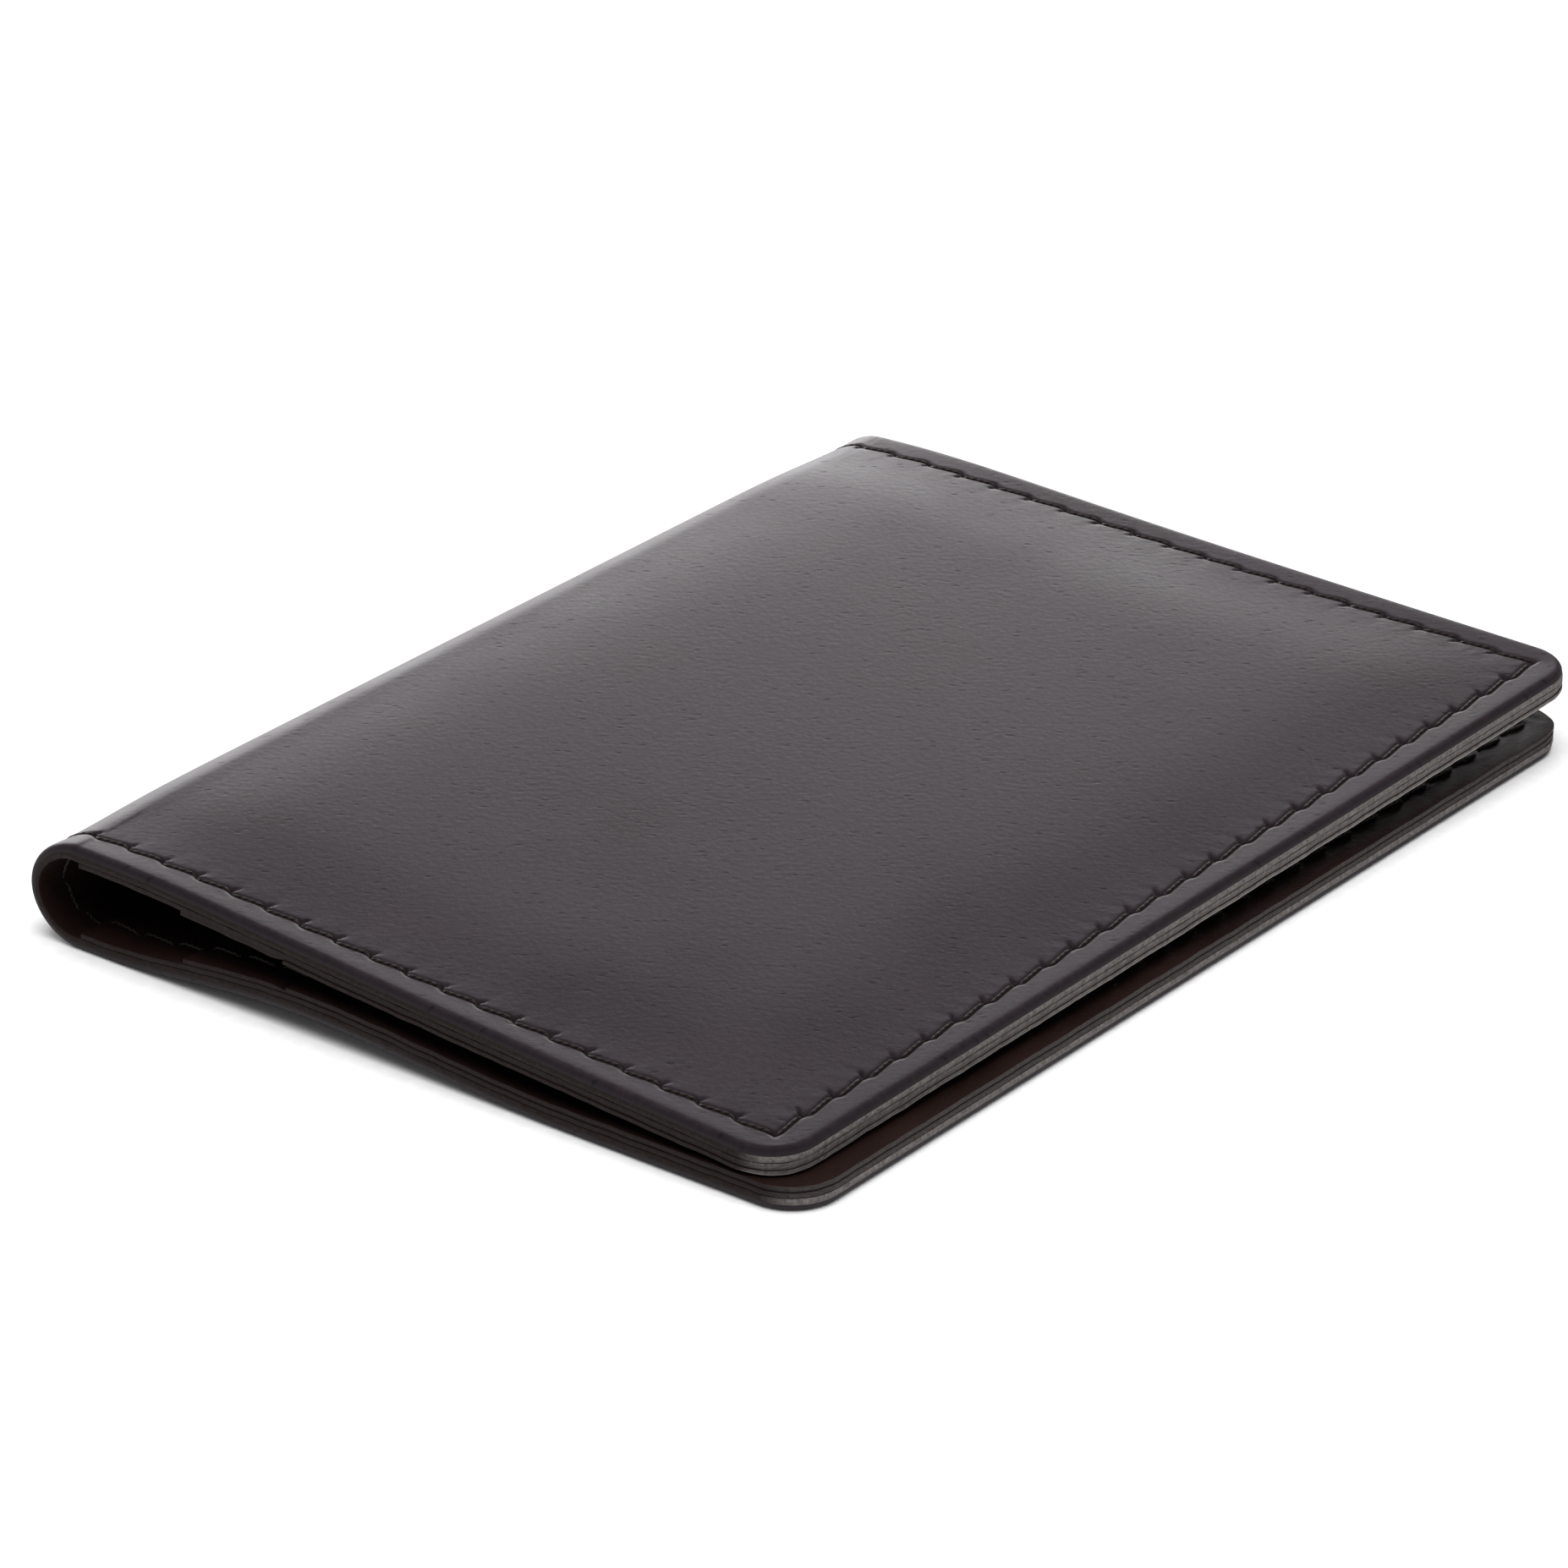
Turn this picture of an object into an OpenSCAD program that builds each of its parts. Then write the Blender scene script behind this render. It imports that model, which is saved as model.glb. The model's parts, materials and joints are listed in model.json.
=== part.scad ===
// Bifold wallet: one leather cover folded in half, a lining and two card
// slots on the inner face of each half, and a row of stitches near the edge.
// X runs from the fold to the free edges, Y along the fold and Z up. The
// origin is under the middle of the closed wallet, on what it lies on.
//
// Each half is built in its own flat frame: u (along X) starts at the line
// where the fold begins, and z rises from the outer face to the inner face.

/* [Wallet] */
// Closed width, from the outside of the fold to the back's free edge
closed_w = 80; // [64:1:110]
// Length along the fold
panel_l = 109; // [88:1:140]
// Radius of the corners at the free edges
corner_r = 5.5; // [2:0.5:9]
// How far the front's free edge stops short of the back's
front_short = 1.2; // [0:0.1:3]

/* [Fold] */
// Height of the closed fold, outside to outside
fold_h = 9.1; // [7.5:0.1:13]
// Slope of the closed front, down towards its free edge, in degrees
front_slope = 1.85; // [0:0.05:2]
// Gap between neighbouring strips of the fold
strip_gap = 0.1; // [0.06:0.01:0.2]

/* [Leather] */
// Thickness of the cover
cover_t = 1.2; // [1:0.05:1.5]
// Thickness of the lining
lining_t = 0.45; // [0.3:0.05:0.7]
// Thickness of the card slots
slot_t = 0.45; // [0.3:0.05:0.7]

/* [Card slots] */
// Distance from the outside of the fold to the edge of the lining
lining_edge = 5.2; // [4.4:0.1:8]
// Distance from one slot's edge to the next
slot_step = 11.2; // [8:0.1:14]
// Width of the sewn band that closes a slot
seam_band = 5.5; // [4.5:0.1:7]
// Room between the foot of the first slot and the sewn band
slot_foot = 3.5; // [1:0.1:8]
// Clearance of the first slot in the second
slot_gap = 0.3; // [0.1:0.05:0.6]

/* [Stitching] */
// Distance from the edge to the row of stitches
stitch_margin = 3; // [2.5:0.1:3.6]
// Distance from one stitch to the next
stitch_pitch = 3.75; // [3:0.05:5]
// Diameter of the thread
thread_d = 0.5; // [0.35:0.05:0.6]
// Length of each stitch that is inside its holes
hole_len = 0.9; // [0.6:0.05:1.2]
// Angle of a stitch to its row, in degrees
stitch_slant = 5; // [0:1:10]
// Clearance of the thread in its groove and on the leather
thread_gap = 0.04; // [0.02:0.01:0.08]

/* [Hidden] */
$fn = 48;
fold_strips = 5;
// Turn at each of the lines between the strips, when the wallet opens flat
bend = (180 + front_slope) / (fold_strips + 1);
strip_w = fold_h / fold_rise(fold_strips);
strip_lean = tan(bend / 2);
strip_taper = cover_t * strip_lean;
fold_reach = -min([for (k = [0 : fold_strips]) fold_x(k)]);
hinge_x = fold_reach - closed_w / 2;
back_len = closed_w - fold_reach;
front_len = (back_len - front_short - fold_x(fold_strips)) / cos(front_slope);

lining_u = lining_edge - fold_reach;
first_u = lining_u + slot_step;
second_u = first_u + slot_step;
slot_z = cover_t + lining_t;

stitch_len = stitch_pitch - hole_len;
groove_d = thread_d + 2 * thread_gap;
groove_w = thread_d + stitch_len * sin(stitch_slant) + 2 * thread_gap;
row_y = panel_l / 2 - stitch_margin;

leather = "#3a302c";
lining_leather = "#463a34";
thread = "#241d1b";

// Direction of strip k, from 180 degrees (along the back, to the fold)
// down to the slope of the front
function heading(k) = 180 - bend * k;
// Height and place of the end of strip k, with strips of width 1 and strip_w
function fold_rise(k) = k == 0 ? 0 : fold_rise(k - 1) + sin(heading(k));
function fold_x(k) = k == 0 ? 0 : fold_x(k - 1) + strip_w * cos(heading(k));
function fold_z(k) = strip_w * fold_rise(k);

// Height of the inner face at the sewn band, at the distance u from the hinge line
function inner_z(u) = u < lining_u ? cover_t : u < first_u ? slot_z : slot_z + slot_t;

// Frames of the two halves and of strip k
module on_back() {
    translate([hinge_x, 0, 0]) children();
}

module on_front() {
    translate([hinge_x + fold_x(fold_strips), 0, fold_h])
        rotate([0, front_slope, 0])
            mirror([0, 0, 1]) children();
}

module on_strip(k) {
    translate([hinge_x + fold_x(k - 1), 0, fold_z(k - 1)])
        rotate([0, -heading(k), 0])
            mirror([0, 0, 1]) children();
}

// Outline of one half, with round corners at the free edge
module half_outline(len) {
    translate([0, -panel_l / 2]) square([len - corner_r, panel_l]);
    translate([0, corner_r - panel_l / 2]) square([len, panel_l - 2 * corner_r]);
    for (side = [-1, 1])
        translate([len - corner_r, side * (panel_l / 2 - corner_r)]) circle(corner_r);
}

// Flat leather over the stretch of one half from u0 to u1
module sheet(len, u0, u1, z, t) {
    translate([0, 0, z]) linear_extrude(t) intersection() {
        half_outline(len);
        translate([u0, -panel_l / 2]) square([u1 - u0, panel_l]);
    }
}

// Box from u0 to u1, clear of both ends of the wallet by inset
module inset_box(u0, u1, inset, z, t) {
    translate([u0, inset - panel_l / 2, z]) cube([u1 - u0, panel_l - 2 * inset, t]);
}

// Outline of the groove that the outer stitches of one half lie in
module groove_outline(len) {
    inner_u = len - stitch_margin - groove_w / 2;
    inner_y = 2 * row_y - groove_w;
    difference() {
        translate([-1, -inner_y / 2 - groove_w]) square([inner_u + groove_w + 1, inner_y + 2 * groove_w]);
        translate([-2, -inner_y / 2]) square([inner_u + 2, inner_y]);
    }
}

// Half of the cover. Its end at the fold leans like the ends of the strips
module cover_half(len) {
    top = cover_t + 1;
    difference() {
        sheet(len, 0, len, 0, cover_t);
        translate([0, 0, -1]) linear_extrude(groove_d + 1) groove_outline(len);
        rotate([90, 0, 0]) linear_extrude(panel_l + 2, center = true) polygon([
            [-1, -1], [strip_gap / 2 - strip_lean, -1],
            [strip_gap / 2 + strip_lean * top, top], [-1, top]]);
    }
}

module lining_half(len) {
    sheet(len, lining_u, len, cover_t, lining_t);
}

// First slot: a band across the half, and a body inside the second slot
module first_slot(len) {
    sheet(len, first_u, second_u - slot_gap, slot_z, slot_t);
    inset_box(first_u, len - seam_band - slot_foot, seam_band + slot_gap, slot_z, slot_t);
}

// Second slot: sewn flat along three edges and raised over the first
module second_slot(len) {
    difference() {
        union() {
            sheet(len, second_u, len, slot_z, slot_t);
            inset_box(second_u, len - seam_band + slot_t, seam_band - slot_t, slot_z, 2 * slot_t);
        }
        inset_box(second_u - 1, len - seam_band, seam_band, slot_z - 1, slot_t + 1);
    }
}

// One stitch, centred on its row and turned from it by the slant
module stitch(length) {
    rotate([0, 90, stitch_slant]) cylinder(h = length, d = thread_d, center = true);
}

// Stitches of one half: two rows from the fold and one along the free edge
module stitch_rows(len, inner) {
    row_u = len - stitch_margin;
    across = round(row_u / stitch_pitch);
    along = round(2 * row_y / stitch_pitch);
    step_u = row_u / across;
    step_y = 2 * row_y / along;
    for (side = [-1, 1], i = [0 : across - 1])
        translate([(i + 0.5) * step_u, side * row_y, thread_z((i + 1) * step_u, inner)])
            stitch(step_u - hole_len);
    for (i = [0 : along - 1])
        translate([row_u, (i + 0.5) * step_y - row_y, thread_z(row_u, inner)])
            rotate(90) stitch(step_y - hole_len);
}

// Height of the middle of a stitch that ends at the distance u
function thread_z(u, inner) =
    inner ? inner_z(u) + thread_d / 2 + thread_gap : thread_d / 2 + thread_gap;

// Strip k of the fold, tapered so that its neighbours clear it when closed
module fold_strip(k) {
    ends = strip_gap / 2;
    on_strip(k) difference() {
        rotate([90, 0, 0]) linear_extrude(panel_l, center = true) polygon([
            [ends, 0], [strip_w - ends, 0],
            [strip_w - strip_taper - ends, cover_t], [strip_taper + ends, cover_t]]);
        for (side = [-1, 1])
            translate([-1, side * row_y - groove_w / 2, -1])
                cube([strip_w + 2, groove_w, groove_d + 1]);
    }
}

// Stitches of strip k, outside and inside, at both ends of the fold
module fold_stitching(k) {
    inner_len = strip_w - 2 * strip_taper - 2 * thread_d;
    on_strip(k) for (side = [-1, 1]) translate([strip_w / 2, side * row_y, 0]) {
        translate([0, 0, thread_d / 2 + thread_gap]) stitch(strip_w - hole_len);
        translate([0, 0, cover_t + thread_d / 2 + thread_gap]) stitch(inner_len);
    }
}

module cover_back() { color(leather) on_back() cover_half(back_len); }
module cover_front() { color(leather) on_front() cover_half(front_len); }
module back_lining() { color(lining_leather) on_back() lining_half(back_len); }
module back_slot_1() { color(lining_leather) on_back() first_slot(back_len); }
module back_slot_2() { color(lining_leather) on_back() second_slot(back_len); }
module front_lining() { color(lining_leather) on_front() lining_half(front_len); }
module front_slot_1() { color(lining_leather) on_front() first_slot(front_len); }
module front_slot_2() { color(lining_leather) on_front() second_slot(front_len); }
module back_outer_stitching() { color(thread) on_back() stitch_rows(back_len, false); }
module back_inner_stitching() { color(thread) on_back() stitch_rows(back_len, true); }
module front_outer_stitching() { color(thread) on_front() stitch_rows(front_len, false); }
module front_inner_stitching() { color(thread) on_front() stitch_rows(front_len, true); }

cover_back();
cover_front();
color(leather) fold_strip(1);  // fold_strip_1
color(leather) fold_strip(2);  // fold_strip_2
color(leather) fold_strip(3);  // fold_strip_3
color(leather) fold_strip(4);  // fold_strip_4
color(leather) fold_strip(5);  // fold_strip_5
back_lining();
back_slot_1();
back_slot_2();
front_lining();
front_slot_1();
front_slot_2();
back_outer_stitching();
back_inner_stitching();
front_outer_stitching();
front_inner_stitching();
color(thread) fold_stitching(1);  // fold_stitching_1
color(thread) fold_stitching(2);  // fold_stitching_2
color(thread) fold_stitching(3);  // fold_stitching_3
color(thread) fold_stitching(4);  // fold_stitching_4
color(thread) fold_stitching(5);  // fold_stitching_5
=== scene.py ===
# Bifold wallet of smooth, waxed, nearly black brown leather. The cover is one
# sheet that goes from the back's free edge, round the fold, to the front's free
# edge. It is worked out whole on its unfolded sheet and then cut into a back,
# six bending pieces of the fold and a front. Linings, slots and thread follow.
import json
import math

import bpy
import numpy as np
from mathutils import Matrix, Vector


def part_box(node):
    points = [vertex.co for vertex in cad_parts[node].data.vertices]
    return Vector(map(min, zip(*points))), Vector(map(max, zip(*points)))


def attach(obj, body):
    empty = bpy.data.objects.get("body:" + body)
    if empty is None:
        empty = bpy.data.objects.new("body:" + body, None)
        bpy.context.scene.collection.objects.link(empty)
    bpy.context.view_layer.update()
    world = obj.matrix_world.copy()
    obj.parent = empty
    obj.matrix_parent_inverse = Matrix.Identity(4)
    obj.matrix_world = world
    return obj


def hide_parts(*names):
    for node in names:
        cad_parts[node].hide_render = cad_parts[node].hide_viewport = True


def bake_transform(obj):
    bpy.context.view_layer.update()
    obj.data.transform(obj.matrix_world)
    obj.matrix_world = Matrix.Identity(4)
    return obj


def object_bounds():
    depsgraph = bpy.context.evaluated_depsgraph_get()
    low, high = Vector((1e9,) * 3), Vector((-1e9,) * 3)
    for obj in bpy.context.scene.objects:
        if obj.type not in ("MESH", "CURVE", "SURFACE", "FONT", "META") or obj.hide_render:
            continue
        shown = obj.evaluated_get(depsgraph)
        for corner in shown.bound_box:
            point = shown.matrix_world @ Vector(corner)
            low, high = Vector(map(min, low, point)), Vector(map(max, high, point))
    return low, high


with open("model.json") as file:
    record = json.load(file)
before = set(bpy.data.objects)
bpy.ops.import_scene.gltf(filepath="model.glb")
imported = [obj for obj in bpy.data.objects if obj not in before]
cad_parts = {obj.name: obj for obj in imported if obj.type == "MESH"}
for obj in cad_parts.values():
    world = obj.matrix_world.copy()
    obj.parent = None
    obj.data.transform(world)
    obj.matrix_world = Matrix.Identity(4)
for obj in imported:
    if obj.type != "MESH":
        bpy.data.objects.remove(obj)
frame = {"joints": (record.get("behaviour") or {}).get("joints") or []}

cad_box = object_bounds()
MM = 0.001

# ---------------------------------------------------------------- the frame
# The six lines that the fold bends about, as x and z, and the bodies they join
JOINTS = {j["name"]: j for j in frame["joints"]}
LINE_NAMES = [f"fold_bend_{k}" for k in range(1, 6)] + ["front_opening"]
LINES = np.array([[JOINTS[n]["pos_m"][0], JOINTS[n]["pos_m"][2]] for n in LINE_NAMES])
CHAIN = ["back"] + [JOINTS[n]["child"] for n in LINE_NAMES]
TURNS = len(LINE_NAMES)
BEND = math.radians(JOINTS["front_opening"]["range_deg"][1])
SLOPE = TURNS * BEND - math.pi
HALF_STRIP = np.linalg.norm(LINES[1] - LINES[0]) / 2
RADIUS = HALF_STRIP / math.tan(BEND / 2)

_, back_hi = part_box("cover_back")
_, front_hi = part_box("cover_front")
lining_lo, lining_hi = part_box("back_lining")
slot1_lo, slot1_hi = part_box("back_slot_1")
slot2_lo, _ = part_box("back_slot_2")
HALF_L = back_hi.y
COVER_T = back_hi.z
LINING_T = lining_hi.z - COVER_T
SLOT_T = slot1_hi.z - lining_hi.z
LEN_BACK = back_hi.x - LINES[0, 0]
LEN_FRONT = (front_hi.x - LINES[-1, 0]) / math.cos(SLOPE)
REACH = LINES[0, 0] - cad_box[0].x
# Edges of the lining and slots, by their distance u from the first bending line
LINING_U = lining_lo.x - LINES[0, 0]
SLOT1_U = slot1_lo.x - LINES[0, 0]
SLOT2_U = slot2_lo.x - LINES[0, 0]

# The unfolded sheet: s runs from the back's free edge, round the fold, to the
# front's free edge, and v along the fold.
ARC = RADIUS * BEND
S_BACK = LEN_BACK - HALF_STRIP
S_FRONT = S_BACK + TURNS * ARC
S_END = S_FRONT + LEN_FRONT - HALF_STRIP
SEAMS = S_BACK + ARC * np.arange(TURNS + 1)

# ------------------------------------------------------------ sizes of detail
CORNER_R = 4.4 * MM
ARRIS = 0.6 * MM
ROW_IN = 3.0 * MM
PITCH = 3.75 * MM
THREAD_R = 0.16 * MM
STITCH_LEAN = 0.2 * MM
STITCH_POWER = 8
SEAM_BAND = 5.5 * MM
SLOT_LIFT = 0.3 * MM

# The back's arch: its height, where it starts and how long it is, the power that
# moves its top towards the fold, and the share of its height lost at the far end
ARCH = 1.5 * MM
ARCH_START = 9 * MM
ARCH_LENGTH = 49 * MM
ARCH_POWER = 0.773
ARCH_LOSS = 0.25
# The front's twist along its free edge, in mm: in the middle, and what the far
# end has more than that
TWIST_MIDDLE = -0.35
TWIST_FAR = 1.85
# How much longer each half is at its near and far end, in mm
SKEW_BACK = (0, -0.4)
SKEW_FRONT = (-1.1, 1.6)
# The roll beside the fold: its slope, its length and how softly it starts
ROLL_SLOPE = 0.15
ROLL_LENGTH = 10 * MM
ROLL_START = 2.0 * MM
# The belly in the middle of the fold: its height and half its width
BELLY = 0.42 * MM
BELLY_WIDTH = 3.4 * MM

# A full turn in radians, to three decimals, and the number of sines in a wander
FULL_TURN = 6.283
WAVES = 7


def smooth(x):
    """Smooth step from 0 at 0 to 1 at 1."""
    x = np.clip(x, 0, 1)
    return x * x * (3 - 2 * x)


def drift(a, b, size, seed):
    """Smooth wander, about -1 to 1, over two lengths: a sum of seven sines whose
    directions come from the seed, with waves one to three times the given size."""
    rng = np.random.default_rng(seed)
    total = 0
    for k in range(WAVES):
        turn, phase, wave = rng.uniform(0, FULL_TURN, 3)
        freq = FULL_TURN / (size * (1 + wave / 3))
        total = total + np.sin(freq * (a * math.cos(turn) + b * math.sin(turn)) + phase)
    return total / 4


def arch(u, v):
    """Rise of the back between the fold and its middle: a skewed sine-square hump."""
    t = np.clip((u + REACH - ARCH_START) / ARCH_LENGTH, 0, 1)
    height = ARCH * (1 - ARCH_LOSS * (v / HALF_L + 1) / 2)
    return height * np.sin(np.pi * t ** ARCH_POWER) ** 2


def twist(u, v):
    """Sag of the front's near corner and lift of its far one, in line with u."""
    return u / LEN_FRONT * (TWIST_MIDDLE + TWIST_FAR * v / HALF_L) * MM


def skew(u, v, length, near, far):
    """Change of length along u: in line with u, from near to far across v."""
    return u / length * ((near + far) / 2 + (far - near) / 2 * v / HALF_L) * MM


def belly_out(s):
    """How far the sheet stands out from the circle: past the fold, a roll that
    rises in line with the distance and dies away exponentially, with a hyperbola
    for a soft start, and a bell-shaped belly in the middle of the fold."""
    past = (s - S_FRONT) / 2
    past = past + np.hypot(past, ROLL_START)
    roll = ROLL_SLOPE * past * np.exp(-past / ROLL_LENGTH)
    belly = BELLY * np.exp(-(((s - (S_BACK + S_FRONT) / 2) / BELLY_WIDTH) ** 2))
    return roll + belly


def place(s, v, depth):
    """Point of the folded wallet for a point of the sheet, depth under its outer
    face: flat with the arch on the back, a circle round the fold, then along the
    sloping front with its twist."""
    s, v, depth = np.broadcast_arrays(*(np.asarray(a, float) for a in (s, v, depth)))
    depth = depth - belly_out(s)
    u_back, u_front = LEN_BACK - s, HALF_STRIP + s - S_FRONT
    turn = np.clip((s - S_BACK) / RADIUS, 0, TURNS * BEND)
    x = LINES[0, 0] + HALF_STRIP - (RADIUS - depth) * np.sin(turn)
    z = RADIUS - (RADIUS - depth) * np.cos(turn)
    on_back, on_front = s < S_BACK, s > S_FRONT
    u_back = u_back + skew(np.maximum(u_back - HALF_STRIP, 0), v, LEN_BACK, *SKEW_BACK)
    u_front = u_front + skew(np.maximum(u_front - HALF_STRIP, 0), v, LEN_FRONT, *SKEW_FRONT)
    x = np.where(on_back, LINES[0, 0] + u_back, x)
    z = np.where(on_back, depth + arch(u_back, v), z)
    c, w = math.cos(SLOPE), math.sin(SLOPE)
    x = np.where(on_front, LINES[-1, 0] + u_front * c - depth * w, x)
    z = np.where(on_front, LINES[-1, 1] - u_front * w - depth * c + twist(u_front, v), z)
    return np.stack([x, v, z], axis=-1)


# ------------------------------------------------------- stitch row on a sheet
ROW_S = np.array([ROW_IN, S_END - ROW_IN])
ROW_V = HALF_L - ROW_IN
N_LONG = round((ROW_S[1] - ROW_S[0]) / PITCH)
N_CROSS = round(2 * ROW_V / PITCH)
PITCH_LONG = (ROW_S[1] - ROW_S[0]) / N_LONG
PITCH_CROSS = 2 * ROW_V / N_CROSS

# The groove under the thread, and the slit at each hole: how far it reaches into
# the panel, in mm, how much that varies, its slant, half its width and its length
GROOVE_WIDTH = 0.23 * MM
SLIT_REACH = 0.36
SLIT_VARIES = 0.12
SLIT_SLANT = 0.6
SLIT_WIDTH = 0.15 * MM
SLIT_LENGTH = 0.38 * MM
# How strong the faintest slit is, what chance adds, and two numbers that scatter
# the chance from hole to hole
SLIT_FAINTEST, SLIT_CHANCE = 0.65, 0.35
SCATTER = (12.9898, 43.7585)
# Heights of the relief in mm, each followed by the width that it takes, then the
# depths of the groove, of its holes and of the slits, and how far in the folds start
ROW_SINK, ROW_SINK_WIDTH = 0.07, 2.0 * MM
PANEL_RISE, PANEL_WIDTH = 0.38, 8 * MM
MARGIN_RISE, MARGIN_WIDTH = 0.10, 2.4 * MM
GROOVE_DEEP, HOLE_DEEPER, SLIT_DEEP = 0.17, 0.04, 0.3
PANEL_START = 0.5 * MM
# The small folds, twice a stitch, and the pull at every hole: height in mm, how
# far into the panel they are strongest, and half their width
FOLD_RISE, FOLD_AT, FOLD_WIDTH = 0.006, 0.9 * MM, 1.2 * MM
FOLD_TURN = 0.08
PULL_SINK, PULL_AT, PULL_WIDTH = 0.008, 1.5 * MM, 1.1 * MM


def row_place(s, v):
    """Signed distance to the stitch line (positive towards the edge), distance
    along it in stitches, the pitch there, and 1 or -1 for the way it was sewn:
    round the wallet, with the panel on the left."""
    qs = np.abs(s - ROW_S.mean()) - (ROW_S[1] - ROW_S[0]) / 2
    qv = np.abs(v) - ROW_V
    out = np.hypot(np.maximum(qs, 0), np.maximum(qv, 0)) + np.minimum(np.maximum(qs, qv), 0)
    on_long = np.abs(qv) < np.abs(qs)
    along = np.where(on_long, (s - ROW_S[0]) / PITCH_LONG, (v + ROW_V) / PITCH_CROSS)
    way = np.where(on_long, -np.sign(v), np.sign(s - ROW_S.mean()))
    return out, along, np.where(on_long, PITCH_LONG, PITCH_CROSS), way


def dive(along):
    """Place within a stitch, from 0 to 1, and how far down the thread is there: an
    even power that is 0 over the middle of the stitch and 1 at its holes."""
    tau = along - np.floor(along)
    return tau, np.abs(2 * tau - 1) ** STITCH_POWER


def aslant(along, way):
    """Offset of the thread from its row, towards the edge: half a cosine wave, so
    that every stitch starts outside the line and ends inside it."""
    tau, down = dive(along)
    return STITCH_LEAN * way * np.sin(np.pi * (0.5 - tau)) * (1 - down)


def pillow(s, v, width):
    """1 at the edges of the sewn panel, falling to 0 over the width as a bell
    curve, with no crease on the diagonals."""
    in_s = (ROW_S[1] - ROW_S[0]) / 2 - np.abs(s - ROW_S.mean())
    in_v = ROW_V - np.abs(v)
    a = np.exp(-((np.maximum(in_s, 0) / width) ** 2))
    b = np.exp(-((np.maximum(in_v, 0) / width) ** 2))
    return a + b - a * b


def edge_distance(s, v, s0, s1, half, r0, r1):
    """Distance inwards from a rounded rectangle, with corner radius r0 at s0 and
    r1 at s1, and the outward direction there."""
    middle = (s0 + s1) / 2
    r = np.where(s < middle, r0, r1)
    a, b = s - middle, v
    qs, qv = np.abs(a) - (s1 - s0) / 2 + r, np.abs(b) - half + r
    ps, pv = np.maximum(qs, 0), np.maximum(qv, 0)
    far = np.hypot(ps, pv)
    inside = np.minimum(np.maximum(qs, qv), 0)
    safe = np.where(far > 1e-9, far, 1)
    flat = far <= 1e-9
    ns = np.where(flat, qs >= qv, ps / safe) * np.sign(a)
    nv = np.where(flat, qs < qv, pv / safe) * np.sign(b)
    return r - far - inside, ns, nv


def sewing(s, v):
    """Groove and slits of a stitch row, each from 0 to 1, and a number from 0 to 1
    for each hole: the groove is a bell curve across the leaning stitches, and at
    every hole a slanting, bell-shaped slit reaches into the panel."""
    out, along, pitch, way = row_place(s, v)
    hole = np.round(along)
    chance = np.modf(np.abs(np.sin(hole * SCATTER[0]) * SCATTER[1]))[0]
    la = (along - hole) * pitch * way
    deep_in = out + (SLIT_REACH + SLIT_VARIES * chance) * MM
    slit = np.hypot((la + SLIT_SLANT * deep_in) / SLIT_WIDTH, deep_in / SLIT_LENGTH)
    groove = np.exp(-(((out - aslant(along, way)) / GROOVE_WIDTH) ** 2))
    return groove, np.exp(-slit ** 2) * (SLIT_FAINTEST + SLIT_CHANCE * chance), chance


def relief(s, v, puckers=1.0):
    """Rise of a sewn face: the front's panel swells towards its middle, both
    panels drop softly to the stitch line, the line is a groove that is deepest
    at the holes, each hole has its slit, small folds run from it into the panel,
    and the margin rises a little towards the edge."""
    out, along, _, _ = row_place(s, v)
    inside = np.maximum(-out, 0)
    groove, slit, chance = sewing(s, v)
    near_hole = np.cos(2 * np.pi * along)
    panel = smooth(inside / PANEL_START)
    on_front = smooth((s - S_BACK) / (S_FRONT - S_BACK))
    rise = -ROW_SINK * np.exp(-inside / ROW_SINK_WIDTH)
    rise += PANEL_RISE * (1 - pillow(s, v, PANEL_WIDTH)) * on_front
    rise += MARGIN_RISE * smooth(out / MARGIN_WIDTH)
    rise -= (GROOVE_DEEP + HOLE_DEEPER * near_hole) * groove + SLIT_DEEP * slit
    fold = np.cos(4 * np.pi * (along + FOLD_TURN * inside / MM) + 3 * chance)
    fold_band = np.exp(-((inside - FOLD_AT) / FOLD_WIDTH) ** 2)
    pull_band = np.exp(-((inside - PULL_AT) / PULL_WIDTH) ** 2)
    rise += puckers * FOLD_RISE * (0.4 + chance) * fold * panel * fold_band
    rise -= puckers * PULL_SINK * near_hole * panel * pull_band
    return rise * MM


# --------------------------------------------------------------- mesh helpers
def grid_faces(index):
    """Quads of an array of vertex numbers."""
    corners = [index[:-1, :-1], index[1:, :-1], index[1:, 1:], index[:-1, 1:]]
    return np.stack(corners, -1).reshape(-1, 4)


def vertex_normals(points, faces):
    """Unit normals at the vertices: the sum of the normals of the faces round each."""
    total = np.zeros_like(points)
    for group in faces:
        a = points[group[:, 2]] - points[group[:, 0]]
        b = points[group[:, -1]] - points[group[:, 1]]
        n = np.cross(a, b)
        for corner in range(group.shape[1]):
            for axis in range(3):
                total[:, axis] += np.bincount(group[:, corner], n[:, axis], len(points))
    return total / np.maximum(np.linalg.norm(total, axis=1, keepdims=True), 1e-20)


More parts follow.
